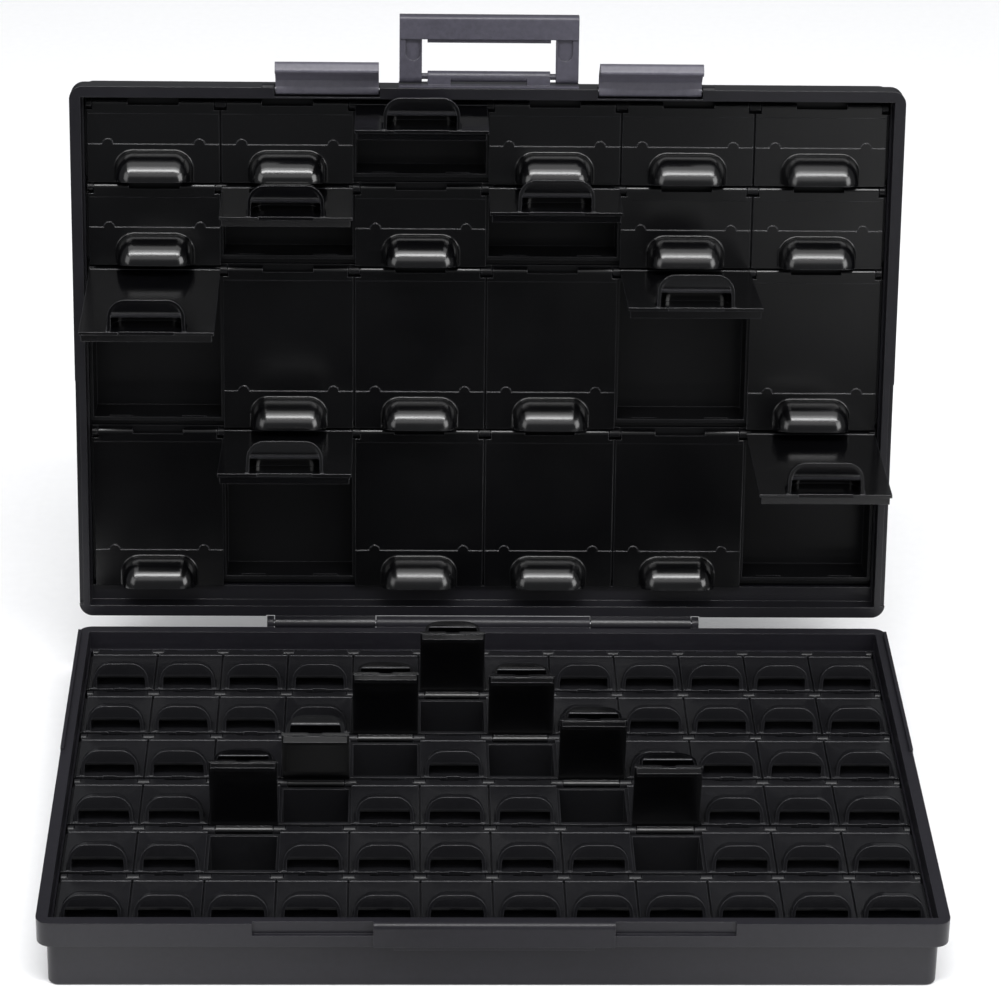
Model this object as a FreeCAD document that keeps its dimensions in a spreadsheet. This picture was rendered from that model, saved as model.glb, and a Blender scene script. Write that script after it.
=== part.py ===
import FreeCAD
import Part
import math
import os
import re
import Sketcher

# Compartment storage box: two hinged trays full of small lidded cells.
# Millimetres, +Z up. The origin is the middle of the underside, under the centre of the rim.
# X runs along the rows of cells, and the hinge between the two halves is on the +Y side.

# Driving sizes
SIZES = {
    # Grid of cells
    "columns": 12,
    "base_rows": 6,
    "column_pitch": 19.75,
    "row_pitch": 25.15,
    "lid_column_factor": 2,
    "lid_tall_factor": 2,
    "row_gap": 0.1,
    # Cell trays
    "divider": 1.0,
    "cell_back_wall": 1.05,
    "cell_front_wall": 1.1,
    "tray_floor": 1.0,
    "tray_gap": 0.2,
    "trough_front": 1.95,
    "trough_back": 1.55,
    "trough_depth": 0.4,
    "step_length": 1.8,
    "step_clearance": 0.7,
    "boss_length": 3.2,
    "catch_slot_width": 8.2,
    "catch_slot_height": 1.0,
    "catch_slot_drop": 0.9,
    "wide_catch_slot_width": 7.3,
    "wide_catch_spacing": 22.0,
    # Cell covers
    "knuckle_radius": 1.3,
    "knuckle_cut_width": 8.2,
    "wide_knuckle_cut_width": 15.0,
    "knuckle_cut_reach": 0.3,
    "stub_radius": 0.6,
    "stub_length": 1.3,
    "stub_clearance": 0.05,
    "panel_thickness": 1.0,
    "seat_gap": 0.3,
    "side_gap": 0.6,
    "end_gap": 0.3,
    "free_edge_gap": 1.65,
    "corner_notch": 1.75,
    "skirt_depth": 2.2,
    "skirt_thickness": 1.2,
    "skirt_inset": 0.6,
    "edge_notch_width": 4.0,
    "wide_edge_notch_width": 16.0,
    "edge_notch_depth": 0.4,
    "crease_from_axis": 2.9,
    "crease_width": 0.5,
    "crease_depth": 0.2,
    "step_from_edge": 11.5,
    "tab_spacing": 27.0,
    "tab_radius": 1.6,
    # Finger hoods on the covers
    "hood_width": 16.6,
    "hood_height": 7.5,
    "hood_length": 8.6,
    "hood_setback": 0.3,
    "hood_back_round": 7.2,
    "wide_hood_width": 22.6,
    "wide_hood_height": 9.4,
    "wide_hood_length": 9.2,
    "wide_hood_setback": 0.3,
    "wide_hood_back_round": 8.6,
    "hood_draft": 0.4,
    "hood_mouth_lean": 1.6,
    "hood_side_round": 5.2,
    "hood_wall": 1.0,
    "hood_foot_round": 0.6,
    # Shells
    "base_height": 21.5,
    "lid_height": 22.5,
    "cover_recess": 4.8,
    "shell_floor": 1.5,
    "side_wall": 1.25,
    "base_hinge_wall": 1.85,
    "base_front_wall": 5.35,
    "lid_front_wall": 1.85,
    "body_inset": 2.55,
    "band_height": 7.25,
    "rim_land": 3.3,
    "rim_corner": 4.0,
    "body_corner": 3.0,
    "foot_round": 0.8,
    "rim_rib_width": 1.0,
    "rim_rib_height": 1.2,
    "rim_rib_front": 8.0,
    "rim_rib_clearance": 0.3,
    "parting_gap": 0.3,
    # Recesses and ledge on the front of the base
    "front_recess_inner": 32.1,
    "front_recess_width": 32.9,
    "front_recess_height": 3.8,
    "front_recess_depth": 1.2,
    "ledge_width": 65.0,
    "ledge_depth": 0.5,
    "ledge_round": 1.6,
    "ledge_lip_width": 54.0,
    "ledge_lip_drop": 1.0,
    "ledge_lip_depth": 0.2,
    # Hinge between the halves
    "opening_angle": 100.1,
    "pivot_setback": 2.2,
    "barrel_radius": 2.2,
    "barrel_clearance": 0.3,
    "gusset_height": 6.5,
    "gusset_root": 0.5,
    "centre_knuckle": 65.2,
    "side_knuckle": 30.65,
    "knuckle_gap": 0.3,
    "end_lug": 2.05,
    "pin_radius": 1.0,
    "pin_clearance": 0.05,
    # Latches
    "latch_inner": 32.3,
    "latch_width": 30.3,
    "latch_gap": 0.3,
    "latch_axis_in": 0.85,
    "latch_axis_drop": 2.2,
    "latch_barrel_radius": 1.6,
    "latch_plate": 2.2,
    "latch_plate_gap": 0.5,
    "latch_neck": 0.9,
    "latch_hook_height": 1.55,
    "latch_hook_reach": 1.1,
    "latch_pin_radius": 0.6,
    "latch_pin_seat": 1.0,
    "latch_ear": 3.6,
    "latch_swing_gap": 0.6,
    "latch_nose_round": 1.5,
    "latch_hook_round": 0.7,
    "latch_rest_angle": 38.0,
    # Handle
    "handle_half_width": 26.3,
    "handle_leg": 6.6,
    "handle_axis_out": 3.0,
    "handle_axis_drop": 3.6,
    "handle_reach": 18.2,
    "handle_grip_height": 6.9,
    "handle_lip_height": 1.1,
    "handle_lip_half_width": 18.1,
    "handle_lip_thickness": 3.0,
    "handle_thickness": 4.8,
    "handle_leg_thickness": 4.0,
    "handle_round": 1.2,
    "scoop_width": 4.4,
    "scoop_length": 4.2,
    "scoop_from_edge": 4.0,
    "scoop_depth": 0.7,
    "handle_eye_radius": 2.0,
    "handle_pin_radius": 0.9,
    "bracket_half_width": 18.0,
    "bracket_plate_half_width": 26.5,
    "bracket_support": 6.8,
    "bracket_bar_radius": 1.6,
    "bracket_plate": 0.7,
}

# Sizes that follow from the driving ones
DERIVED = [
    ("tray_width", "columns * column_pitch + divider"),
    ("rim_width", "tray_width + 2 * (tray_gap + side_wall + body_inset)"),
    ("tray_field", "base_rows * row_pitch - row_gap"),
    (
        "rim_depth",
        "tray_field + 2 * (tray_gap + body_inset) + base_hinge_wall + base_front_wall",
    ),
    ("base_first_axis", "rim_depth / 2 - body_inset - base_hinge_wall - tray_gap - trough_back"),
    ("lid_first_axis", "rim_depth / 2 - body_inset - lid_front_wall - tray_gap - trough_back"),
    ("wide_pitch", "lid_column_factor * column_pitch"),
    ("tall_pitch", "lid_tall_factor * row_pitch"),
    ("wall_top", "knuckle_radius - panel_thickness - seat_gap"),
    ("base_axis_height", "base_height - cover_recess - knuckle_radius"),
    ("lid_axis_height", "lid_height - cover_recess - knuckle_radius"),
    ("step_level", "knuckle_radius - panel_thickness - skirt_depth - step_clearance"),
    ("trough_level", "-(knuckle_radius + trough_depth)"),
    ("ledge_level", "cover_recess + knuckle_radius - wall_top"),
    ("shell_half_width", "rim_width / 2 - body_inset"),
    ("shell_half_depth", "rim_depth / 2 - body_inset"),
    ("pivot_y", "rim_depth / 2 + pivot_setback"),
    ("base_pivot_z", "base_height + parting_gap / 2"),
    ("lid_pivot_z", "lid_height + parting_gap / 2"),
    ("knuckle_start", "centre_knuckle / 2 + knuckle_gap"),
    ("lug_start", "knuckle_start + side_knuckle + knuckle_gap"),
    ("pin_half_length", "lug_start + end_lug"),
    ("latch_axis_y", "rim_depth / 2 - latch_axis_in"),
    ("latch_axis_z", "lid_height - latch_axis_drop"),
    ("catch_drop", "latch_axis_drop + parting_gap + band_height + latch_gap"),
    ("handle_axis_y", "rim_depth / 2 + handle_axis_out"),
    ("handle_axis_z", "lid_height - handle_axis_drop"),
]

# Opening angles, in degrees, of the covers that stand open
BASE_OPEN = {(2, 6): 81, (3, 5): 83, (3, 7): 80.5, (4, 4): 66, (4, 8): 81, (5, 3): 85, (5, 9): 80}
LID_OPEN = {
    (1, 3): 79.7, (2, 2): 77.6, (2, 4): 82.5, (3, 1): 80.3, (3, 5): 90, (4, 2): 90, (4, 6): 83.2,
}

doc = FreeCAD.newDocument("StorageBox")
sheet = doc.addObject("Spreadsheet::Sheet", "Sizes")
for line_number, (alias, number) in enumerate(SIZES.items(), start=1):
    sheet.set(f"A{line_number}", alias)
    sheet.set(f"B{line_number}", str(number))
    sheet.setAlias(f"B{line_number}", alias)
doc.recompute()


def bound(text):
    """An expression in which each size is read from its own object."""
    derived_names = {pair[0] for pair in DERIVED}

    def source(match):
        word = match.group()
        if word in SIZES:
            return f"Sizes.{word}"
        return f"Derived.{word}" if word in derived_names else word

    return re.sub(r"[a-z][a-z_]*", source, text)


derived = doc.addObject("App::VarSet", "Derived")
for derived_name, formula in DERIVED:
    derived.addProperty("App::PropertyFloat", derived_name, "Derived")
    derived.setExpression(derived_name, bound(formula))
doc.recompute()


def size(name):
    """The number that a size has in the document."""
    return float(sheet.get(name)) if name in SIZES else float(getattr(derived, name))


# Drawing helpers
def new_body(label):
    body = doc.addObject("PartDesign::Body", label)
    body.Label = label
    return body


def new_sketch(body, name, plane, offset="0"):
    """A sketch on one of the body's own origin planes, moved along that plane's normal."""
    sketch = body.newObject("Sketcher::SketchObject", name)
    support = [f for f in body.Origin.OriginFeatures if f.Role == plane][0]
    sketch.AttachmentSupport = [(support, "")]
    sketch.MapMode = "FlatFace"
    sketch.setExpression("AttachmentOffset.Base.z", bound(offset))
    return sketch


def fix_point(sketch, line, end, x, y):
    """Holds a sketch point at expressions for its two coordinates."""
    for kind, text in (("DistanceX", x), ("DistanceY", y)):
        number = sketch.addConstraint(Sketcher.Constraint(kind, -1, 1, line, end, 1.0))
        sketch.setExpression(f"Constraints[{number}]", bound(text))


def polygon(body, name, plane, points, offset="0"):
    """A closed outline through points whose coordinates are expressions."""
    sketch = new_sketch(body, name, plane, offset)
    count = len(points)
    turn = 2 * math.pi / count
    start = [FreeCAD.Vector(math.cos(i * turn), math.sin(i * turn), 0) for i in range(count)]
    for i in range(count):
        sketch.addGeometry(Part.LineSegment(start[i], start[(i + 1) % count]), False)
    for i in range(count):
        sketch.addConstraint(Sketcher.Constraint("Coincident", i, 2, (i + 1) % count, 1))
    for i, (x, y) in enumerate(points):
        fix_point(sketch, i, 1, x, y)
    return sketch


def rectangle(body, name, plane, left, right, low, high, offset="0"):
    corners = [(left, low), (right, low), (right, high), (left, high)]
    return polygon(body, name, plane, corners, offset)


def circle(body, name, plane, x, y, radius, offset="0"):
    sketch = new_sketch(body, name, plane, offset)
    ring = Part.Circle(FreeCAD.Vector(1, 1, 0), FreeCAD.Vector(0, 0, 1), 1.0)
    sketch.addGeometry(ring, False)
    fix_point(sketch, 0, 3, x, y)
    number = sketch.addConstraint(Sketcher.Constraint("Radius", 0, 1.0))
    sketch.setExpression(f"Constraints[{number}]", bound(radius))
    return sketch


def add_feature(kind, body, name, sketch, length, both_ways=False, backwards=False):
    feature = body.newObject(kind, name)
    feature.Profile = sketch
    feature.setExpression("Length", bound(length))
    feature.Midplane = both_ways
    feature.Reversed = backwards
    doc.recompute()
    return feature


def pad(body, name, sketch, length, both_ways=False, backwards=False):
    return add_feature("PartDesign::Pad", body, name, sketch, length, both_ways, backwards)


def pocket(body, name, sketch, length, both_ways=False, backwards=False):
    """Cuts a pocket, and makes sure that it took something away."""
    before = body.Shape.Volume
    feature = add_feature("PartDesign::Pocket", body, name, sketch, length, both_ways, backwards)
    if body.Shape.Volume >= before:
        raise ValueError(f"{body.Label}: {name} cuts nothing")
    return feature


def near(value, target):
    return abs(value - target) < 1e-4


def fillet(body, name, radius, wanted):
    """Rounds each edge of the body that the test wanted(edge, box) picks."""
    base = body.Tip
    picked = []
    for number, edge in enumerate(base.Shape.Edges, start=1):
        if wanted(edge, edge.BoundBox):
            picked.append(f"Edge{number}")
    feature = body.newObject("PartDesign::Fillet", name)
    feature.Base = (base, picked)
    feature.setExpression("Radius", bound(radius))
    doc.recompute()
    return feature


def along_x(body, name, features, pitch, count):
    """Repeats features along +X."""
    pattern = body.newObject("PartDesign::LinearPattern", name)
    pattern.Originals = features
    axis = [f for f in body.Origin.OriginFeatures if f.Role == "X_Axis"][0]
    pattern.Direction = (axis, [""])
    pattern.setExpression("Length", bound(f"({pitch}) * ({count} - 1)"))
    pattern.setExpression("Occurrences", bound(count))
    body.Tip = pattern
    doc.recompute()
    return pattern


# Cell trays. Each is drawn with the hinge axis of its covers along X through the origin.
def make_tray(label, pitch, count, length, floor_height, slot_width, slot_places):
    """One moulded row of cells, open at the top."""
    body = new_body(label)
    bottom = f"-(({floor_height}) - shell_floor)"
    front = f"-({length} - row_gap - trough_back)"
    wall_front = f"{front} + step_length"
    profile = [
        ("trough_back", bottom),
        ("trough_back", "trough_level"),
        ("-trough_front", "trough_level"),
        ("-trough_front", "wall_top"),
        (wall_front, "wall_top"),
        (wall_front, "step_level"),
        (front, "step_level"),
        (front, bottom),
    ]
    outline = polygon(body, "Section", "YZ_Plane", profile)
    pad(body, "Block", outline, "tray_width", both_ways=True)

    middle = f"-{pitch} * ({count} - 1) / 2"
    cell_left = f"{middle} - ({pitch} - divider) / 2"
    cell_right = f"{middle} + ({pitch} - divider) / 2"
    cell_back = "-(trough_front + cell_back_wall)"
    cell_front = f"{wall_front} + cell_front_wall"
    opening = rectangle(
        body, "CellOutline", "XY_Plane", cell_left, cell_right, cell_front, cell_back, "wall_top"
    )
    cells = [pocket(body, "Cell", opening, f"({floor_height}) - shell_floor - tray_floor + wall_top")]

    for side, edge in (("Left", f"{middle} - {pitch} / 2"), ("Right", f"{middle} + {pitch} / 2 - boss_length / 2")):
        ring = circle(body, f"{side}BossRing", "YZ_Plane", "0", "0", "knuckle_radius", edge)
        cells.append(pad(body, f"{side}Boss", ring, "boss_length / 2"))
        web = rectangle(
            body, f"{side}WebOutline", "YZ_Plane",
            "-knuckle_radius", "knuckle_radius", "trough_level - trough_depth", "0", edge,
        )
        cells.append(pad(body, f"{side}Web", web, "boss_length / 2"))

    for number, place in enumerate(slot_places, start=1):
        slot = rectangle(
            body, f"CatchSlot{number}Outline", "XZ_Plane",
            f"{middle} + ({place}) - {slot_width} / 2", f"{middle} + ({place}) + {slot_width} / 2",
            "wall_top - catch_slot_drop - catch_slot_height", "wall_top - catch_slot_drop",
            f"-({wall_front} - step_length / 2)",
        )
        depth = "cell_front_wall + step_length"
        cells.append(pocket(body, f"CatchSlot{number}", slot, depth))
    along_x(body, "Cells", cells, pitch, count)

    bore = circle(body, "BoreOutline", "YZ_Plane", "0", "0", "stub_radius + stub_clearance")
    pocket(body, "HingeBore", bore, "tray_width - divider", both_ways=True)
    return body


# Cell covers, drawn shut, with the hinge axis along X through the origin and the free edge at -Y
def make_hood_block(label, kind, mouth, low, inset):
    """A rounded block for the outside of a finger hood, or, inset by the wall, for its hollow."""
    body = new_body(label)
    foot = f"({kind}_width / 2 - {inset})"
    crest = f"knuckle_radius + {kind}_height - {inset}"
    corners = [
        (f"-{foot}", low),
        (foot, low),
        (f"{foot} - hood_draft", crest),
        (f"-({foot} - hood_draft)", crest),
    ]
    section = polygon(body, f"{label}_section", "XZ_Plane", corners, f"-({mouth})")
    pad(body, f"{label}_length", section, f"{kind}_length - {inset}", backwards=True)
    block = body.Shape.BoundBox
    fillet(
        body, f"{label}_back_round", f"{kind}_back_round - {inset}",
        lambda edge, box: near(box.YMin, block.YMax) and near(box.ZMin, block.ZMax),
    )
    fillet(
        body, f"{label}_side_round", f"hood_side_round - {inset}",
        lambda edge, box: box.XLength < block.XLength / 4
        and box.YMax > block.YMin + 0.1 and box.ZMax > block.ZMin + 0.1,
    )
    lean = [(mouth, low), (f"{mouth} + hood_mouth_lean", crest), (mouth, crest)]
    wedge = polygon(body, f"{label}_lean_outline", "YZ_Plane", lean)
    pocket(body, f"{label}_lean", wedge, f"{kind}_width", both_ways=True)
    return body


def make_hood(label, kind, mouth):
    """A hollow finger hood, open towards the free edge of its cover."""
    outside = make_hood_block(f"{label}_outside", kind, mouth, "wall_top + seat_gap", "0")
    inside = make_hood_block(f"{label}_inside", kind, mouth, "knuckle_radius", "hood_wall")
    hood = doc.addObject("Part::Cut", label)
    hood.Base = outside
    hood.Tool = inside
    doc.recompute()
    return hood


def make_cover(label, pitch, reach, kind, cut_width, notch_width, stepped):
    body = new_body(f"{label}_panel")
    half_width = f"({pitch} - side_gap) / 2"
    half_knuckle = f"(({pitch} - boss_length) / 2 - end_gap)"
    front = f"-({reach} - free_edge_gap)"
    under = "knuckle_radius - panel_thickness"
    half_notch = f"({notch_width} / 2)"

    outline = [
        (f"-{half_knuckle}", "0"),
        (half_knuckle, "0"),
        (half_knuckle, "-corner_notch"),
        (half_width, "-corner_notch"),
        (half_width, front),
        (half_notch, front),
        (half_notch, f"{front} + edge_notch_depth"),
        (f"-{half_notch}", f"{front} + edge_notch_depth"),
        (f"-{half_notch}", front),
        (f"-{half_width}", front),
        (f"-{half_width}", "-corner_notch"),
        (f"-{half_knuckle}", "-corner_notch"),
    ]
    panel = polygon(body, "PanelOutline", "XY_Plane", outline, under)
    pad(body, "Panel", panel, "panel_thickness")
    knuckle = circle(body, "KnuckleOutline", "YZ_Plane", "0", "0", "knuckle_radius")
    pad(body, "Knuckle", knuckle, f"2 * {half_knuckle}", both_ways=True)
    stub = circle(body, "StubOutline", "YZ_Plane", "0", "0", "stub_radius")
    pad(body, "Stubs", stub, f"2 * ({half_knuckle} + stub_length)", both_ways=True)
    cut = rectangle(
        body, "KnuckleCutOutline", "XY_Plane", f"-{cut_width} / 2", f"{cut_width} / 2",
        "-knuckle_cut_reach", "2 * knuckle_radius", "2 * knuckle_radius",
    )
    pocket(body, "KnuckleCut", cut, "4 * knuckle_radius")
    skirt = rectangle(
        body, "SkirtOutline", "XY_Plane",
        f"-({half_width} - skirt_inset)", f"{half_width} - skirt_inset",
        f"{front} + edge_notch_depth", f"{front} + edge_notch_depth + skirt_thickness", under,
    )
    pad(body, "Skirt", skirt, "skirt_depth", backwards=True)

    if stepped:
        step = rectangle(
            body, "StepOutline", "XY_Plane", f"-{half_width} - 1", f"{half_width} + 1",
            f"{front} + step_from_edge", "-crease_from_axis", "knuckle_radius",
        )
        pocket(body, "Step", step, "crease_depth")
        for name, side in (("Left", "-"), ("Right", "")):
            tab = circle(
                body, f"{name}TabOutline", "XY_Plane", f"{side}tab_spacing / 2",
                f"{front} + step_from_edge", "tab_radius", "knuckle_radius",
            )
            pad(body, f"{name}Tab", tab, "crease_depth", backwards=True)
    else:
        crease = rectangle(
            body, "CreaseOutline", "XY_Plane", f"-{half_width} - 1", f"{half_width} + 1",
            "-(crease_from_axis + crease_width)", "-crease_from_axis", "knuckle_radius",
        )
        pocket(body, "Crease", crease, "crease_depth")

    hood = make_hood(f"{label}_hood", kind, f"{front} + {kind}_setback")
    joined = doc.addObject("Part::MultiFuse", f"{label}_joined")
    joined.Shapes = [body, hood]
    doc.recompute()
    rounded = doc.addObject("Part::Fillet", label)
    rounded.Base = joined
    radius = size("hood_foot_round")
    rounded.Edges = [(number, radius, radius) for number in foot_edges(joined.Shape, hood.Base.Shape)]
    doc.recompute()
    return rounded


def foot_edges(cover, hood_outside):
    """Numbers of the edges where the outside of a hood meets its panel, the mouth left out."""
    top = size("knuckle_radius")
    mouth = hood_outside.BoundBox.YMin + size("hood_mouth_lean")
    found = []
    for number, edge in enumerate(cover.Edges, start=1):
        box = edge.BoundBox
        middle = edge.valueAt((edge.FirstParameter + edge.LastParameter) / 2)
        reach = hood_outside.Shells[0].distToShape(Part.Vertex(middle))[0]
        if near(box.ZMin, top) and near(box.ZMax, top) and near(reach, 0) and box.YMax > mouth:
            found.append(number)
    return found


# Shells, drawn open side up. hinge is the sign of the side on which the main hinge is.
def make_shell(label, height, hinge, hinge_wall, front_wall):
    body = new_body(label)
    half_width = "rim_width / 2"
    half_depth = "rim_depth / 2"
    foot = rectangle(
        body, "BodyOutline", "XY_Plane",
        "-shell_half_width", "shell_half_width", "-shell_half_depth", "shell_half_depth",
    )
    pad(body, "Body", foot, height)
    fillet(body, "BodyCorners", "body_corner", lambda edge, box: box.ZLength > 1)
    fillet(body, "FootRound", "foot_round", lambda edge, box: near(box.ZMax, 0))
    band = rectangle(
        body, "BandOutline", "XY_Plane",
        f"-{half_width}", half_width, f"-{half_depth}", half_depth, f"{height} - band_height",
    )
    pad(body, "Band", band, "band_height")
    rim_x = size("rim_width") / 2
    rim_y = size("rim_depth") / 2
    fillet(
        body, "RimCorners", "rim_corner",
        lambda edge, box: box.ZLength > 1 and near(abs(box.XMin), rim_x) and near(abs(box.YMin), rim_y),
    )
    recess = rectangle(
        body, "RecessOutline", "XY_Plane",
        f"-({half_width} - rim_land)", f"{half_width} - rim_land",
        f"-({half_depth} - rim_land)", f"{half_depth} - rim_land", height,
    )
    pocket(body, "Recess", recess, "ledge_level")
    half_tray = "(tray_width / 2 + tray_gap)"
    walls = {hinge: hinge_wall, -hinge: front_wall}
    well = rectangle(
        body, "WellOutline", "XY_Plane", f"-{half_tray}", half_tray,
        f"-(shell_half_depth - ({walls[-1]}))", f"shell_half_depth - ({walls[1]})",
        f"{height} - ledge_level",
    )
    pocket(body, "Well", well, f"{height} - ledge_level - shell_floor")
    return body


def add_knuckle(body, name, hinge, height, start, length):
    """A hinge knuckle with the gusset that joins it to the rim band."""
    side = "" if hinge > 0 else "-"
    pivot = f"{side}pivot_y"
    ring = circle(body, f"{name}Ring", "YZ_Plane", pivot, f"{height} + parting_gap / 2", "barrel_radius", start)
    pad(body, f"{name}Barrel", ring, length)
    edge = f"{side}(rim_depth / 2)"
    root = f"{side}(rim_depth / 2 - gusset_root)"
    outer = f"{side}(pivot_y + 0.8 * barrel_radius)"
    corners = [
        (root, f"{height} - gusset_height"),
        (edge, f"{height} - gusset_height"),
        (outer, f"{height} + parting_gap / 2 - 0.5 * barrel_radius"),
        (pivot, f"{height} + parting_gap / 2"),
        (root, f"{height} - parting_gap"),
    ]
    web = polygon(body, f"{name}Gusset", "YZ_Plane", corners, start)
    pad(body, f"{name}Web", web, length)


def clear_knuckle(body, name, hinge, height, start, length):
    """Room in the rim for a knuckle of the other half."""
    side = "" if hinge > 0 else "-"
    room = circle(
        body, f"{name}Room", "YZ_Plane", f"{side}pivot_y", f"{height} + parting_gap / 2",
        "barrel_radius + barrel_clearance", start,
    )
    pocket(body, f"{name}Clearance", room, length, backwards=True)


def bore_along_x(body, name, y, z, radius, half_length):
    hole = circle(body, f"{name}Outline", "YZ_Plane", y, z, radius)
    pocket(body, name, hole, f"2 * ({half_length})", both_ways=True)


# Base shell
def make_base_shell():
    body = make_shell("base_shell", "base_height", 1, "base_hinge_wall", "base_front_wall")
    front = "-(rim_depth / 2)"
    for name, left in (("Left", "-(front_recess_inner + front_recess_width)"), ("Right", "front_recess_inner")):
        notch = rectangle(
            body, f"{name}FrontRecessOutline", "XZ_Plane",
            left, f"{left} + front_recess_width",
            "base_height - front_recess_height", "base_height + 1", f"-({front})",
        )
        pocket(body, f"{name}FrontRecess", notch, "front_recess_depth")
    ledge = rectangle(
        body, "LedgeOutline", "YZ_Plane", f"{front} - ledge_depth", f"{front} + ledge_round",
        "base_height - band_height", "base_height",
    )
    pad(body, "Ledge", ledge, "ledge_width", both_ways=True)
    ledge_front = -size("rim_depth") / 2 - size("ledge_depth")
    rim_top = size("base_height")
    fillet(
        body, "LedgeRound", "ledge_round",
        lambda edge, box: near(box.YMin, ledge_front) and near(box.YMax, ledge_front)
        and near(box.ZMin, rim_top) and near(box.ZMax, rim_top),
    )
    lip = rectangle(
        body, "LedgeLipOutline", "YZ_Plane", f"{front} - ledge_lip_depth", f"{front} + body_inset",
        "base_height - band_height - ledge_lip_drop", "base_height - band_height",
    )
    pad(body, "LedgeLip", lip, "ledge_lip_width", both_ways=True)
    for name, left in (("Left", "-(rim_width / 2)"), ("Right", "rim_width / 2 - rim_rib_width")):
        rib = rectangle(
            body, f"{name}RimRibOutline", "XY_Plane", left, f"{left} + rim_rib_width",
            "rim_rib_front", "rim_depth / 2 - rim_corner", "base_height",
        )
        pad(body, f"{name}RimRib", rib, "rim_rib_height")
    clear_knuckle(body, "LeftKnuckle", 1, "base_height", "-lug_start", "side_knuckle + 2 * knuckle_gap")
    clear_knuckle(body, "RightKnuckle", 1, "base_height", "centre_knuckle / 2", "side_knuckle + 2 * knuckle_gap")
    add_knuckle(body, "Centre", 1, "base_height", "-centre_knuckle / 2", "centre_knuckle")
    add_knuckle(body, "LeftLug", 1, "base_height", "-pin_half_length", "end_lug")
    add_knuckle(body, "RightLug", 1, "base_height", "lug_start", "end_lug")
    bore_along_x(body, "PinBore", "pivot_y", "base_pivot_z", "pin_radius + pin_clearance", "pin_half_length + 1")
    return body


# Lid shell, drawn open side up with its main hinge at -Y and its latches and handle at +Y
def make_lid_shell():
    lid_hinge_wall = "(base_hinge_wall + base_front_wall - lid_front_wall)"
    body = make_shell("lid_shell", "lid_height", -1, lid_hinge_wall, "lid_front_wall")
    clear_knuckle(body, "CentreKnuckle", -1, "lid_height", "-knuckle_start", "2 * knuckle_start")
    clear_knuckle(
        body, "LeftLug", -1, "lid_height", "-(pin_half_length + knuckle_gap)", "end_lug + 2 * knuckle_gap"
    )
    clear_knuckle(body, "RightLug", -1, "lid_height", "lug_start - knuckle_gap", "end_lug + 2 * knuckle_gap")
    add_knuckle(body, "Left", -1, "lid_height", "-(knuckle_start + side_knuckle)", "side_knuckle")
    add_knuckle(body, "Right", -1, "lid_height", "knuckle_start", "side_knuckle")
    bore_along_x(body, "PinBore", "-pivot_y", "lid_pivot_z", "pin_radius + pin_clearance", "pin_half_length + 1")

    rebate = "rim_rib_width + rim_rib_clearance"
    for name, left in (("Left", "-(rim_width / 2)"), ("Right", f"rim_width / 2 - ({rebate})")):
        outline = rectangle(
            body, f"{name}RebateOutline", "XY_Plane", left, f"{left} + {rebate}",
            "-(rim_depth / 2 - rim_corner + rim_rib_clearance)", "-(rim_rib_front - rim_rib_clearance)",
            "lid_height",
        )
        pocket(body, f"{name}Rebate", outline, "rim_rib_height + rim_rib_clearance")
    notch_width = "(latch_width + 2 * latch_gap)"
    notch_back = "latch_axis_y - latch_barrel_radius - latch_gap"
    ear_reach = f"({notch_width} + latch_ear)"
    for name, start in (("Left", f"-(latch_inner - latch_gap) - {ear_reach}"), ("Right", "latch_inner - latch_gap")):
        ear = circle(
            body, f"{name}EarOutline", "YZ_Plane", "latch_axis_y", "latch_axis_z",
            "latch_barrel_radius", start,
        )
        pad(body, f"{name}Ear", ear, ear_reach)
    for name, start in (("Left", f"-(latch_inner - latch_gap) - {notch_width}"), ("Right", "latch_inner - latch_gap")):
        notch = rectangle(
            body, f"{name}LatchNotchOutline", "YZ_Plane", notch_back, "rim_depth / 2 + 1",
            "latch_axis_z - latch_barrel_radius - latch_swing_gap", "lid_height + 1", start,
        )
        pocket(body, f"{name}LatchNotch", notch, notch_width, backwards=True)
        hole = circle(
            body, f"{name}LatchBoreOutline", "YZ_Plane", "latch_axis_y", "latch_axis_z",
            "latch_pin_radius + pin_clearance", f"{start} - latch_pin_seat",
        )
        pocket(body, f"{name}LatchBore", hole, f"{notch_width} + 2 * latch_pin_seat", backwards=True)
    return body


# Latch, drawn shut in the lid's own frame, with its pivot axis along X through the origin
def make_latch(label):
    body = new_body(label)
    inner = "(latch_axis_in + latch_plate_gap)"
    outer = f"{inner} + latch_plate"
    hook = f"{inner} - latch_plate_gap - latch_hook_reach"
    tip = "catch_drop + latch_hook_height"
    corners = [
        ("0", "-latch_barrel_radius / 2"),
        ("latch_barrel_radius", "0"),
        ("latch_barrel_radius + pin_clearance", "latch_neck"),
        (outer, "latch_neck + latch_plate"),
        (outer, tip),
        (hook, tip),
        (hook, "catch_drop"),
        (inner, "catch_drop"),
        (inner, "latch_neck + latch_plate"),
        ("0", "latch_barrel_radius"),
    ]
    section = polygon(body, "Section", "YZ_Plane", corners)
    pad(body, "Plate", section, "latch_width", both_ways=True)
    ring = circle(body, "BarrelOutline", "YZ_Plane", "0", "0", "latch_barrel_radius")
    pad(body, "Barrel", ring, "latch_width", both_ways=True)
    bore_along_x(body, "PinBore", "0", "0", "latch_pin_radius + pin_clearance", "latch_width / 2 + 1")
    tip_level = size("catch_drop") + size("latch_hook_height")
    outer_level = size("latch_axis_in") + size("latch_plate_gap") + size("latch_plate")

    def on_tip(box):
        return box.XLength > 1 and near(box.ZMin, tip_level) and near(box.ZMax, tip_level)

    fillet(
        body, "NoseRound", "latch_nose_round",
        lambda edge, box: on_tip(box) and near(box.YMin, outer_level),
    )
    fillet(
        body, "HookRound", "latch_hook_round",
        lambda edge, box: on_tip(box) and box.YMin < outer_level - 1,
    )
    return body


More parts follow.
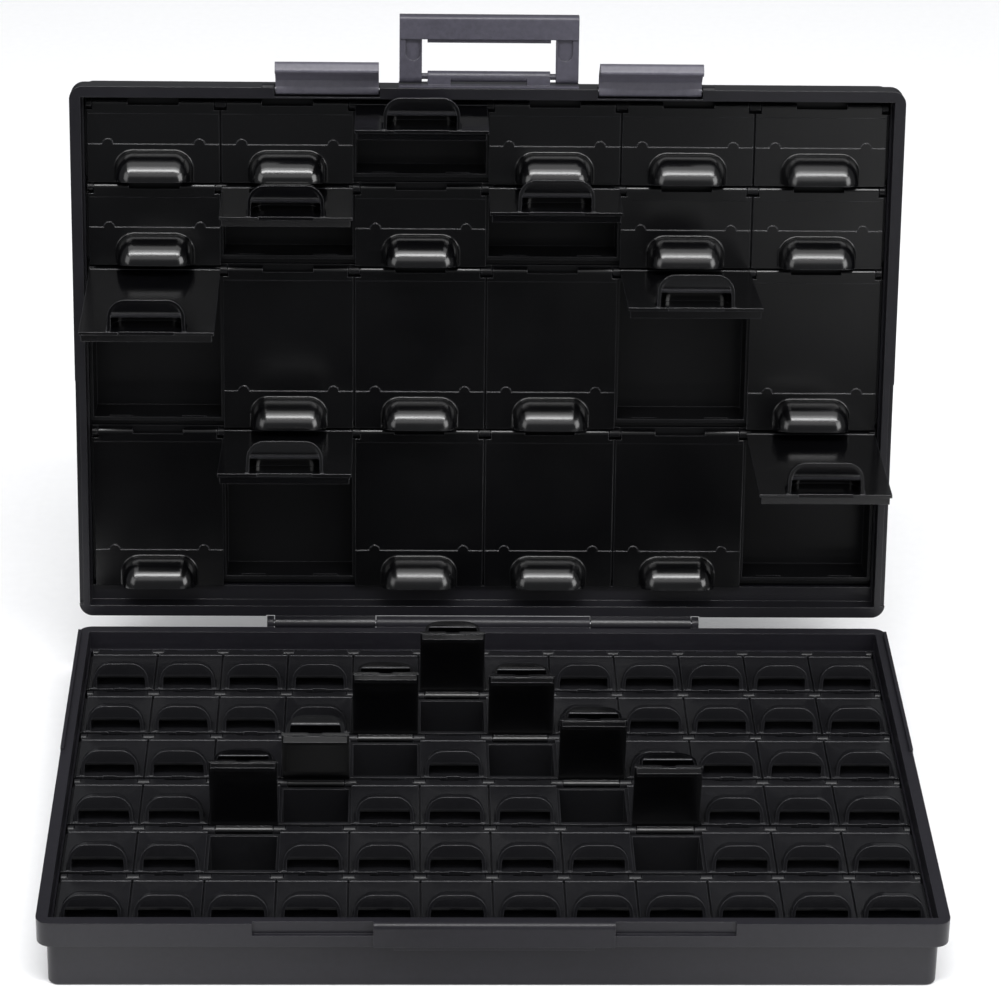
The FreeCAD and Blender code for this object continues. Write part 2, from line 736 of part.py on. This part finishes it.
# Handle, drawn straight out of the lid's front, with its pivot axis along X through the origin
def make_handle():
    body = new_body("handle")
    half = "handle_half_width"
    inner = "(handle_half_width - handle_leg)"
    top = "handle_reach"
    grip_low = "handle_reach - handle_grip_height"
    outline = [
        (f"-{half}", "0"), (f"-{inner}", "0"), (f"-{inner}", grip_low), (inner, grip_low),
        (inner, "0"), (half, "0"), (half, top), (f"-{half}", top),
    ]
    frame = polygon(body, "FrameOutline", "XY_Plane", outline, "-handle_leg_thickness / 2")
    pad(body, "Frame", frame, "handle_leg_thickness")
    grip = rectangle(
        body, "GripOutline", "XY_Plane", f"-{half}", half, grip_low, top, "-handle_thickness / 2"
    )
    pad(body, "Grip", grip, "handle_thickness")
    lip = rectangle(
        body, "LipOutline", "XY_Plane", "-handle_lip_half_width", "handle_lip_half_width",
        f"{grip_low} - handle_lip_height", f"{grip_low} + 1", "-handle_lip_thickness / 2",
    )
    pad(body, "Lip", lip, "handle_lip_thickness")
    for name, start in (("Left", f"-{half}"), ("Right", inner)):
        eye = circle(body, f"{name}EyeOutline", "YZ_Plane", "0", "0", "handle_eye_radius", start)
        pad(body, f"{name}Eye", eye, "handle_leg")
    bore_along_x(body, "PinBore", "0", "0", "handle_pin_radius + pin_clearance", f"{half} + 1")
    for name, side in (("Left", "-"), ("Right", "")):
        middle = f"{side}({half} - scoop_from_edge)"
        level = "handle_leg_thickness / 2"
        channel = rectangle(
            body, f"{name}ScoopOutline", "XY_Plane", f"{middle} - scoop_width / 2",
            f"{middle} + scoop_width / 2", f"{grip_low} - scoop_length", grip_low, level,
        )
        pocket(body, f"{name}Scoop", channel, "scoop_depth")
        end = circle(
            body, f"{name}ScoopEndOutline", "XY_Plane", middle, f"{grip_low} - scoop_length",
            "scoop_width / 2", level,
        )
        pocket(body, f"{name}ScoopEnd", end, "scoop_depth")
    grip_half = size("handle_thickness") / 2
    reach = size("handle_reach")
    fillet(
        body, "GripRound", "handle_round",
        lambda edge, box: box.XLength > 40 and near(box.YMin, reach) and near(abs(box.ZMin), grip_half),
    )
    return body


# Bracket that carries the handle on the front of the lid, drawn about the same axis
def make_bracket():
    body = new_body("handle_bracket")
    foot = "-handle_axis_out"
    plate = rectangle(
        body, "PlateOutline", "YZ_Plane", foot, f"{foot} + bracket_plate",
        "handle_axis_drop - band_height", "handle_axis_drop - parting_gap",
    )
    pad(body, "Plate", plate, "2 * bracket_plate_half_width", both_ways=True)
    bar = circle(body, "BarOutline", "YZ_Plane", "0", "0", "bracket_bar_radius")
    pad(body, "Bar", bar, "2 * bracket_half_width", both_ways=True)
    for name, start in (("Left", "-bracket_half_width"), ("Right", "bracket_half_width - bracket_support")):
        arm = rectangle(
            body, f"{name}SupportOutline", "YZ_Plane", foot, "0",
            "-bracket_bar_radius", "bracket_bar_radius", start,
        )
        pad(body, f"{name}Support", arm, "bracket_support")
    bore_along_x(body, "PinBore", "0", "0", "handle_pin_radius + pin_clearance", "bracket_half_width + 1")
    return body


# A round pin along X with its middle at the origin
def make_pin(label, radius, length):
    pin = doc.addObject("Part::Cylinder", label)
    pin.Label = label
    pin.setExpression("Radius", bound(radius))
    pin.setExpression("Height", bound(length))
    pin.Placement.Rotation = FreeCAD.Rotation(FreeCAD.Vector(0, 1, 0), 90)
    pin.setExpression("Placement.Base.x", bound(f"-({length}) / 2"))
    doc.recompute()
    return pin


# Places
X_AXIS = FreeCAD.Vector(1, 0, 0)
FACE_UP = FreeCAD.Rotation()
FACE_UP_HERE = FreeCAD.Placement()


def lid_placement():
    """Carries the lid's own frame to where the opened lid stands."""
    turn = FreeCAD.Rotation(X_AXIS, 180 - size("opening_angle"))
    own_pivot = FreeCAD.Vector(0, -size("pivot_y"), size("lid_pivot_z"))
    world_pivot = FreeCAD.Vector(0, size("pivot_y"), size("base_pivot_z"))
    return FreeCAD.Placement(world_pivot - turn.multVec(own_pivot), turn)


def at(x, y, z, rotation=FACE_UP):
    return FreeCAD.Placement(FreeCAD.Vector(x, y, z), rotation)


def opened(x, y, z, angle):
    """A cover on its hinge axis, turned open by an angle."""
    return at(x, y, z, FreeCAD.Rotation(X_AXIS, -angle))


parts = []


def keep(label, places, group_place=FACE_UP_HERE):
    """A sub-part made of placed copies, given as pairs of a drawn pattern and a placement."""
    links = []
    for number, (pattern, place) in enumerate(places, start=1):
        link = doc.addObject("App::Link", f"{label}_copy_{number}")
        link.LinkedObject = pattern
        link.LinkPlacement = place
        links.append(link)
    group = doc.addObject("Part::Compound", label)
    group.Label = label
    group.Links = links
    group.Placement = group_place
    parts.append(group)
    return group


lid_frame = lid_placement()

base_tray = make_tray(
    "base_tray_pattern", "column_pitch", "columns", "row_pitch", "base_axis_height",
    "catch_slot_width", ["0"],
)
wide_slots = ["-wide_catch_spacing / 2", "wide_catch_spacing / 2"]
lid_columns = "columns / lid_column_factor"
short_tray = make_tray(
    "lid_short_tray_pattern", "wide_pitch", lid_columns, "row_pitch", "lid_axis_height",
    "wide_catch_slot_width", wide_slots,
)
tall_tray = make_tray(
    "lid_tall_tray_pattern", "wide_pitch", lid_columns, "tall_pitch", "lid_axis_height",
    "wide_catch_slot_width", wide_slots,
)
small_cover = make_cover(
    "small_cover_pattern", "column_pitch", "row_pitch", "hood", "knuckle_cut_width",
    "edge_notch_width", False,
)
short_cover = make_cover(
    "short_cover_pattern", "wide_pitch", "row_pitch", "wide_hood", "wide_knuckle_cut_width",
    "wide_edge_notch_width", True,
)
tall_cover = make_cover(
    "tall_cover_pattern", "wide_pitch", "tall_pitch", "wide_hood", "wide_knuckle_cut_width",
    "wide_edge_notch_width", True,
)

base_shell = make_base_shell()
parts.append(base_shell)
lid_shell = make_lid_shell()
lid_shell.Placement = lid_frame
parts.append(lid_shell)

# Base rows, the first one nearest the hinge
for row in range(1, int(size("base_rows")) + 1):
    axis_y = size("base_first_axis") - (row - 1) * size("row_pitch")
    axis_z = size("base_axis_height")
    keep(f"base_tray_{row}", [(base_tray, FACE_UP_HERE)], at(0, axis_y, axis_z))
    shut = []
    for column in range(1, int(size("columns")) + 1):
        x = (column - (size("columns") + 1) / 2) * size("column_pitch")
        if (row, column) in BASE_OPEN:
            turn = opened(x, axis_y, axis_z, BASE_OPEN[row, column])
            keep(f"base_cover_r{row}c{column}", [(small_cover, FACE_UP_HERE)], turn)
        else:
            shut.append((small_cover, at(x, 0, 0)))
    keep(f"base_covers_row_{row}", shut, at(0, axis_y, axis_z))

# Lid rows, the first one nearest the latches: two short rows, then two tall ones
axis_y = size("lid_first_axis")
wide_count = int(size("columns") / size("lid_column_factor"))
for row in range(1, 5):
    short = row <= 2
    row_place = lid_frame.multiply(at(0, axis_y, size("lid_axis_height")))
    keep(f"lid_tray_{row}", [(short_tray if short else tall_tray, FACE_UP_HERE)], row_place)
    for column in range(1, wide_count + 1):
        x = (column - (wide_count + 1) / 2) * size("wide_pitch")
        turn = row_place.multiply(opened(x, 0, 0, LID_OPEN.get((row, column), 0)))
        keep(f"lid_cover_r{row}c{column}", [(short_cover if short else tall_cover, FACE_UP_HERE)], turn)
    axis_y -= size("row_pitch") if short else size("tall_pitch")

hinge_pin = make_pin("hinge_pin", "pin_radius", "2 * pin_half_length")
hinge_pin.setExpression("Placement.Base.y", bound("pivot_y"))
hinge_pin.setExpression("Placement.Base.z", bound("base_pivot_z"))
parts.append(hinge_pin)

# Latches and their pins
latch = make_latch("latch_pattern")
latch_pin = make_pin("latch_pin_pattern", "latch_pin_radius", "latch_width + 2 * latch_pin_seat")
latch_x = size("latch_inner") + size("latch_width") / 2
latch_line = lid_frame.multiply(at(0, size("latch_axis_y"), size("latch_axis_z")))
for side, label in ((-1, "latch_left"), (1, "latch_right")):
    turn = opened(side * latch_x, 0, 0, size("latch_rest_angle"))
    keep(label, [(latch, FACE_UP_HERE)], latch_line.multiply(turn))
pin_places = [(latch_pin, at(side * latch_x, 0, 0).multiply(latch_pin.Placement)) for side in (-1, 1)]
keep("latch_pins", pin_places, latch_line)

# Handle, its bracket and its pin
handle_line = lid_frame.multiply(at(0, size("handle_axis_y"), size("handle_axis_z")))
handle = make_handle()
handle.Placement = handle_line
parts.append(handle)
bracket = make_bracket()
bracket.Placement = handle_line
parts.append(bracket)
handle_pin = make_pin("handle_pin_pattern", "handle_pin_radius", "2 * handle_half_width")
keep("handle_pin", [(handle_pin, handle_pin.Placement)], handle_line)

doc.recompute()
for item in doc.Objects:
    if "Invalid" in item.State or "Error" in item.State:
        raise ValueError(f"{item.Label} failed")
for item in parts:
    if item.Shape.isNull() or not item.Shape.isValid():
        raise ValueError(f"{item.Label} has no valid shape")

os.makedirs("parts", exist_ok=True)
for item in parts:
    item.Shape.exportStep(f"parts/{item.Label}.step")
print(len(parts), "sub-parts written")
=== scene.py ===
import math

import bpy
from mathutils import Matrix, Vector

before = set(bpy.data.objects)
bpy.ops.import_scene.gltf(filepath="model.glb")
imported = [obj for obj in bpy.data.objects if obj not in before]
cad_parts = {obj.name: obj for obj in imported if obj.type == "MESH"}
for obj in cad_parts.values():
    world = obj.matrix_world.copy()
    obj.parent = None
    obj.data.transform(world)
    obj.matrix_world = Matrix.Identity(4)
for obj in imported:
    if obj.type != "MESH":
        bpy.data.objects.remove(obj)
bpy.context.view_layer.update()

# Lengths are in metres, angles in degrees and powers in watts. Colours are linear.

# Camera, from the photograph. The lens and its sensor are in millimetres.
CAMERA_POSITION = Vector((-0.02775, -0.95151, 0.59588))
CAMERA_PITCH = 27.176
CAMERA_YAW = 1.793
CAMERA_ROLL = 1.044
CAMERA_REACH = 50.0
FOCAL_LENGTH = 139.16
SENSOR_WIDTH = 36.0

# Colours of the pieces, of their edges, lightened as a painted highlight and wear, and of dust
BASE_SHELL_BLACK = (0.0105, 0.0100, 0.0130, 1.0)
# The lid's shell, trays and covers are darker copies of the same black plastic: painted shade.
LID_SHELL_PAINTED_SHADE = (0.0045, 0.0042, 0.0064, 1.0)
LID_TRAY_PAINTED_SHADE = (0.0034, 0.0034, 0.0040, 1.0)
LID_COVER_PAINTED_SHADE = (0.0014, 0.0014, 0.0017, 1.0)
# The base's trays and covers are lighter copies of the same black plastic: painted light on its
# upward faces.
BASE_TRAY_PAINTED_LIGHT = (0.0080, 0.0080, 0.0092, 1.0)
BASE_COVER_PAINTED_LIGHT = (0.0072, 0.0072, 0.0083, 1.0)
HANDLE_BLACK = (0.0480, 0.0460, 0.0600, 1.0)
# The latches' colour is lightened as a painted highlight.
LATCH_BLACK_PAINTED_HIGHLIGHT = (0.0750, 0.0720, 0.0900, 1.0)
EDGE_HIGHLIGHT_AND_WEAR = (0.0550, 0.0550, 0.0620, 1.0)
DUST = (0.10, 0.10, 0.11, 1.0)
PIN_STEEL = (0.35, 0.35, 0.37, 1.0)

# Each plastic: colour, roughness, gloss, depth of its grain, and how far its edges are lightened as
# a painted highlight and wear
PLASTICS = {
    "base_shell": (BASE_SHELL_BLACK, 0.32, 0.38, 0.10, 0.25),
    "lid_shell": (LID_SHELL_PAINTED_SHADE, 0.32, 0.70, 0.10, 0.25),
    "lid_tray": (LID_TRAY_PAINTED_SHADE, 0.32, 0.35, 0.12, 0.5),
    "lid_cover": (LID_COVER_PAINTED_SHADE, 0.17, 0.70, 0.06, 0.5),
    "base_tray": (BASE_TRAY_PAINTED_LIGHT, 0.32, 0.40, 0.12, 0.6),
    "base_cover": (BASE_COVER_PAINTED_LIGHT, 0.20, 0.50, 0.06, 0.6),
    "handle": (HANDLE_BLACK, 0.34, 0.50, 0.10, 0.3),
    "latch": (LATCH_BLACK_PAINTED_HIGHLIGHT, 0.32, 0.60, 0.10, 0.3),
}

# The finish of each part, by the start of its name. The first line that fits is taken. The open
# covers of the base stand upright and get the lid covers' darker colour as painted shade, and its
# closed ones the base covers' lighter colour as painted light.
FINISHES = (
    ("hinge_pin", "steel"),
    ("handle_pin", "handle"),
    ("latch_pins", "steel"),
    ("lid_cover_", "lid_cover"),
    ("base_cover_", "lid_cover"),
    ("base_covers_", "base_cover"),
    ("lid_tray_", "lid_tray"),
    ("base_tray_", "base_tray"),
    ("handle", "handle"),
    ("latch_", "latch"),
    ("lid_shell", "lid_shell"),
    ("base_shell", "base_shell"),
)

# Moulded edges are never sharp: the radius of the softened edge. The lighter edge, a painted
# highlight and wear, starts where the softened surface has turned by one cosine from the flat face,
# and is full where it has turned by the other.
EDGE_SOFTNESS = 0.00035
EDGE_SAMPLES = 4
EDGE_LIGHT_STARTS = 0.99
EDGE_LIGHT_FULL = 0.80

# Patterns of the plastic, by how many marks they have in a metre
FLOW_MARKS = 22.0
MOTTLE_MARKS = 700.0
DUST_MARKS = 900.0
GRAIN_MARKS = 2600.0
GRAIN_HEIGHT = 0.00005

# The patterns' reach: shares of the plastic's own colour, shares of the mix, and added roughness
FLOW_DARKEST = 0.85
FLOW_LIGHTEST = 1.15
MOTTLE_LIGHTEST = 1.6
MOTTLE_SHARE = 0.35
DUST_SHARE = 0.5
FLOW_SMOOTHEST = -0.04
FLOW_ROUGHEST = 0.06
PLASTIC_IOR = 1.49

# Drawn steel: its marks in a metre, how they are stretched along the wire, and its roughness
STEEL_MARKS = 2400.0
STEEL_STRETCH = (0.05, 1.0, 1.0)
STEEL_SMOOTHEST = 0.28
STEEL_ROUGHEST = 0.5

# The floor is a wide sheet of pale paper
FLOOR_SIZE = 8.0
FLOOR_WHITE = (0.88, 0.88, 0.89, 1.0)
FLOOR_WHITER = (0.92, 0.92, 0.93, 1.0)
FLOOR_MARKS = 300.0
FLOOR_ROUGHNESS = 0.9
FLOOR_GLOSS = 0.1

# In reflections, the floor is white close to the box and dark beyond it. The distances run from
# the middle of the box along Y, and count by the share given along X.
GLOSS_FLOOR_WHITE_TO = 0.125
GLOSS_FLOOR_DARK_FROM = 0.20
GLOSS_FLOOR_SHARE_OF_X = 0.35
GLOSS_FLOOR_BLACK = (0.008, 0.008, 0.009, 1.0)
# A painted shadow, seen only in reflections: the middle of the front wall reflects a dimmer patch of
# the floor, which fades out at its rim
PAINTED_SHADOW_CENTRE = (0.0, -0.12, 0.0)
PAINTED_SHADOW_CORE = 0.02
PAINTED_SHADOW_REACH = 0.11
PAINTED_SHADOW_SHARE = 0.6

# What surrounds the box: white behind it, a dim room in reflections, and soft light from all round
BACKDROP_WHITE = (1.0, 1.0, 1.0, 1.0)
BACKDROP_STRENGTH = 1.0
ROOM_GLOSS_COLOUR = (0.95, 0.97, 1.0, 1.0)
ROOM_GLOSS = 0.18
ROOM_LIGHT_COLOUR = (0.98, 0.99, 1.0, 1.0)
ROOM_LIGHT = 0.55

# Lamps: name, position, what it is aimed at, width, length and power. A bright strip hangs high in
# front, with dimmer panels above and below it, a fill at each side, and a low card at the right.
LID_MIDDLE = (0.0, 0.10, 0.10)
LID_RIGHT = (0.10, 0.10, 0.16)
BOX_MIDDLE = (0.0, 0.0, 0.08)
LAMPS = (
    ("strip", (0.0, -0.457, 1.106), LID_MIDDLE, 1.6, 0.12, 10.0),
    ("above_strip", (0.0, -0.303, 1.177), LID_MIDDLE, 1.6, 0.22, 4.2),
    ("overhead", (0.0, 0.02, 1.25), LID_MIDDLE, 1.6, 0.45, 2.4),
    ("below_strip", (0.0, -0.684, 0.941), LID_MIDDLE, 1.6, 0.36, 1.7),
    ("left_fill", (-1.3, -0.9, 0.9), BOX_MIDDLE, 0.8, 0.8, 4.0),
    ("right_fill", (1.3, -0.9, 0.9), BOX_MIDDLE, 0.8, 0.8, 9.0),
    ("right_card", (0.47, -0.90, 0.16), LID_RIGHT, 0.6, 0.30, 0.25),
)


def new_material(name):
    material = bpy.data.materials.new(name)
    material.use_nodes = True
    material.node_tree.nodes.clear()
    return material, material.node_tree.nodes, material.node_tree.links


def noise(nodes, links, coordinates, scale, detail=2.0, roughness=0.5):
    texture = nodes.new("ShaderNodeTexNoise")
    texture.inputs["Scale"].default_value = scale
    texture.inputs["Detail"].default_value = detail
    texture.inputs["Roughness"].default_value = roughness
    links.new(coordinates, texture.inputs["Vector"])
    return texture.outputs["Fac"]


def stretch(nodes, links, coordinates, factors):
    node = nodes.new("ShaderNodeMapping")
    node.inputs["Scale"].default_value = factors
    links.new(coordinates, node.inputs["Vector"])
    return node.outputs["Vector"]


def remap(nodes, links, source, low, high, out_low, out_high):
    """Maps a value onto a range, held at both ends."""
    node = nodes.new("ShaderNodeMapRange")
    node.inputs["From Min"].default_value = low
    node.inputs["From Max"].default_value = high
    node.inputs["To Min"].default_value = out_low
    node.inputs["To Max"].default_value = out_high
    links.new(source, node.inputs["Value"])
    return node.outputs["Result"]


def calculate(nodes, links, kind, operation, *operands):
    """A sum on numbers or vectors. Each operand is a vector, or the output of another node."""
    node = nodes.new(kind)
    node.operation = operation
    for socket, operand in zip(node.inputs, operands):
        if isinstance(operand, tuple):
            socket.default_value = operand
        else:
            links.new(operand, socket)
    return node.outputs["Value"]


def mix_colour(nodes, links, factor, first, second):
    """Mixes two colours. Each is a colour, or the output of another node."""
    mix = nodes.new("ShaderNodeMix")
    mix.data_type = "RGBA"
    links.new(factor, mix.inputs["Factor"])
    for socket, colour in (("A", first), ("B", second)):
        if isinstance(colour, tuple):
            mix.inputs[socket].default_value = colour
        else:
            links.new(colour, mix.inputs[socket])
    return mix.outputs["Result"]


def mix_shader(nodes, links, factor, first, second):
    mix = nodes.new("ShaderNodeMixShader")
    links.new(factor, mix.inputs["Fac"])
    links.new(first, mix.inputs[1])
    links.new(second, mix.inputs[2])
    return mix.outputs["Shader"]


def scaled(colour, factor):
    return tuple(channel * factor for channel in colour[:3]) + (1.0,)


def moulded_plastic(name, colour, roughness, gloss, grain, edge_highlight_and_wear):
    """Semi-gloss moulded plastic: flow marks, fine grain, faint dust, and soft edges, painted
    lighter as a highlight and wear.
    """
    material, nodes, links = new_material(name)
    coordinates = nodes.new("ShaderNodeTexCoord").outputs["Object"]
    output = nodes.new("ShaderNodeOutputMaterial")
    shader = nodes.new("ShaderNodeBsdfPrincipled")
    links.new(shader.outputs["BSDF"], output.inputs["Surface"])
    shader.inputs["IOR"].default_value = PLASTIC_IOR
    shader.inputs["Specular IOR Level"].default_value = gloss

    flow = noise(nodes, links, coordinates, FLOW_MARKS, 4.0, 0.55)
    mottle = noise(nodes, links, coordinates, MOTTLE_MARKS, 3.0, 0.6)
    fine = noise(nodes, links, coordinates, GRAIN_MARKS)
    specks = noise(nodes, links, coordinates, DUST_MARKS, 3.0, 0.75)

    # The surface as rounded at the edges, and a mask of where that turns away from the flat faces
    edge = nodes.new("ShaderNodeBevel")
    edge.samples = EDGE_SAMPLES
    edge.inputs["Radius"].default_value = EDGE_SOFTNESS
    rounded = edge.outputs["Normal"]
    flat = nodes.new("ShaderNodeNewGeometry").outputs["Normal"]
    turned = calculate(nodes, links, "ShaderNodeVectorMath", "DOT_PRODUCT", rounded, flat)
    # Mask of the lighter edges: painted highlight and wear.
    edge_highlight_and_wear_mask = remap(nodes, links, turned, EDGE_LIGHT_STARTS, EDGE_LIGHT_FULL, 0.0, edge_highlight_and_wear)

    # The colour drifts a little across each moulding, is painted lighter at the edges as a highlight
    # and wear, and holds dust
    drift = remap(nodes, links, flow, 0.3, 0.7, 0.0, 1.0)
    flowed = mix_colour(
        nodes, links, drift, scaled(colour, FLOW_DARKEST), scaled(colour, FLOW_LIGHTEST)
    )
    mottling = remap(nodes, links, mottle, 0.35, 0.65, 0.0, MOTTLE_SHARE)
    mottled = mix_colour(nodes, links, mottling, flowed, scaled(colour, MOTTLE_LIGHTEST))
    edge_lightened = mix_colour(nodes, links, edge_highlight_and_wear_mask, mottled, EDGE_HIGHLIGHT_AND_WEAR)
    dust = remap(nodes, links, specks, 0.75, 0.80, 0.0, DUST_SHARE)
    links.new(mix_colour(nodes, links, dust, edge_lightened, DUST), shader.inputs["Base Color"])
    smoothest, roughest = roughness + FLOW_SMOOTHEST, roughness + FLOW_ROUGHEST
    links.new(remap(nodes, links, flow, 0.25, 0.75, smoothest, roughest), shader.inputs["Roughness"])

    bump = nodes.new("ShaderNodeBump")
    bump.inputs["Strength"].default_value = grain
    bump.inputs["Distance"].default_value = GRAIN_HEIGHT
    links.new(fine, bump.inputs["Height"])
    links.new(rounded, bump.inputs["Normal"])
    links.new(bump.outputs["Normal"], shader.inputs["Normal"])
    return material


def drawn_steel(name):
    """Drawn steel wire, with fine marks along its length."""
    material, nodes, links = new_material(name)
    coordinates = nodes.new("ShaderNodeTexCoord").outputs["Object"]
    marks = noise(nodes, links, stretch(nodes, links, coordinates, STEEL_STRETCH), STEEL_MARKS)
    shader = nodes.new("ShaderNodeBsdfPrincipled")
    output = nodes.new("ShaderNodeOutputMaterial")
    links.new(shader.outputs["BSDF"], output.inputs["Surface"])
    shader.inputs["Base Color"].default_value = PIN_STEEL
    shader.inputs["Metallic"].default_value = 1.0
    dulled = remap(nodes, links, marks, 0.3, 0.7, STEEL_SMOOTHEST, STEEL_ROUGHEST)
    links.new(dulled, shader.inputs["Roughness"])
    return material


def paint_parts():
    """Gives each CAD part its finish."""
    finishes = {
        name: moulded_plastic(name + "_plastic", *values) for name, values in PLASTICS.items()
    }
    finishes["steel"] = drawn_steel("pin_steel")
    for name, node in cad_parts.items():
        finish = next(finish for start, finish in FINISHES if name.startswith(start))
        for slot in node.material_slots:
            slot.material = finishes[finish]


def floor_darkness(nodes, links, coordinates):
    """How dark the floor is in reflections: dark away from the box, and dim in a painted shadow
    before it.
    """
    squeezed = stretch(nodes, links, coordinates, (GLOSS_FLOOR_SHARE_OF_X, 1.0, 1.0))
    distance = calculate(nodes, links, "ShaderNodeVectorMath", "LENGTH", squeezed)
    far = remap(nodes, links, distance, GLOSS_FLOOR_WHITE_TO, GLOSS_FLOOR_DARK_FROM, 0.0, 1.0)
    # The dim patch before the box is a painted shadow, seen in reflections.
    offset = calculate(
        nodes, links, "ShaderNodeVectorMath", "DISTANCE", coordinates, PAINTED_SHADOW_CENTRE
    )
    painted_shadow = remap(nodes, links, offset, PAINTED_SHADOW_CORE, PAINTED_SHADOW_REACH, PAINTED_SHADOW_SHARE, 0.0)
    return calculate(nodes, links, "ShaderNodeMath", "MAXIMUM", far, painted_shadow)


def make_floor():
    """A pale floor. In reflections it fades out away from the box, as a table does in a dim room."""
    bpy.ops.mesh.primitive_plane_add(size=FLOOR_SIZE, location=(0, 0, 0))
    floor = bpy.context.object
    floor.name = "floor"
    material, nodes, links = new_material("floor_paper")
    coordinates = nodes.new("ShaderNodeTexCoord").outputs["Object"]
    fibres = noise(nodes, links, coordinates, FLOOR_MARKS, 3.0)
    shader = nodes.new("ShaderNodeBsdfPrincipled")
    shader.inputs["Roughness"].default_value = FLOOR_ROUGHNESS
    shader.inputs["Specular IOR Level"].default_value = FLOOR_GLOSS
    paper = mix_colour(nodes, links, fibres, FLOOR_WHITE, FLOOR_WHITER)
    links.new(paper, shader.inputs["Base Color"])

    darkness = floor_darkness(nodes, links, coordinates)
    in_gloss = nodes.new("ShaderNodeLightPath").outputs["Is Glossy Ray"]
    darkened = calculate(nodes, links, "ShaderNodeMath", "MULTIPLY", darkness, in_gloss)
    dark = nodes.new("ShaderNodeEmission")
    dark.inputs["Color"].default_value = GLOSS_FLOOR_BLACK
    surface = mix_shader(
        nodes, links, darkened, shader.outputs["BSDF"], dark.outputs["Emission"]
    )
    output = nodes.new("ShaderNodeOutputMaterial")
    links.new(surface, output.inputs["Surface"])
    floor.data.materials.append(material)


def background(nodes, colour, strength):
    node = nodes.new("ShaderNodeBackground")
    node.inputs["Color"].default_value = colour
    node.inputs["Strength"].default_value = strength
    return node.outputs["Background"]


def make_world():
    """White behind the box, a dim room in reflections, and soft light from all round."""
    world = bpy.data.worlds.new("room")
    bpy.context.scene.world = world
    world.use_nodes = True
    nodes = world.node_tree.nodes
    links = world.node_tree.links
    nodes.clear()
    output = nodes.new("ShaderNodeOutputWorld")
    white = background(nodes, BACKDROP_WHITE, BACKDROP_STRENGTH)
    room = background(nodes, ROOM_GLOSS_COLOUR, ROOM_GLOSS)
    light = background(nodes, ROOM_LIGHT_COLOUR, ROOM_LIGHT)
    path = nodes.new("ShaderNodeLightPath")
    unseen = mix_shader(nodes, links, path.outputs["Is Glossy Ray"], light, room)
    surface = mix_shader(nodes, links, path.outputs["Is Camera Ray"], unseen, white)
    links.new(surface, output.inputs["Surface"])


def make_lamps():
    for name, position, target, width, length, power in LAMPS:
        data = bpy.data.lights.new(name, "AREA")
        data.shape = "RECTANGLE"
        data.size = width
        data.size_y = length
        data.energy = power
        lamp = bpy.data.objects.new(name, data)
        bpy.context.scene.collection.objects.link(lamp)
        lamp.location = position
        aim = Vector(target) - Vector(position)
        lamp.rotation_euler = aim.to_track_quat("-Z", "Y").to_euler()


def make_camera():
    data = bpy.data.cameras.new("camera")
    data.sensor_fit = "HORIZONTAL"
    data.sensor_width = SENSOR_WIDTH
    data.lens = FOCAL_LENGTH
    data.clip_end = CAMERA_REACH
    camera = bpy.data.objects.new("camera", data)
    bpy.context.scene.collection.objects.link(camera)
    bpy.context.scene.camera = camera
    yaw = Matrix.Rotation(math.radians(CAMERA_YAW), 3, "Z")
    pitch = Matrix.Rotation(math.radians(CAMERA_PITCH), 3, "X")
    roll = Matrix.Rotation(math.radians(CAMERA_ROLL), 3, "Y")
    right, forward, up = roll @ pitch @ yaw
    turn = Matrix((right, up, -forward)).transposed()
    camera.matrix_world = Matrix.Translation(CAMERA_POSITION) @ turn.to_4x4()


paint_parts()
make_floor()
make_world()
make_lamps()
make_camera()
bpy.context.scene.view_settings.view_transform = "Standard"
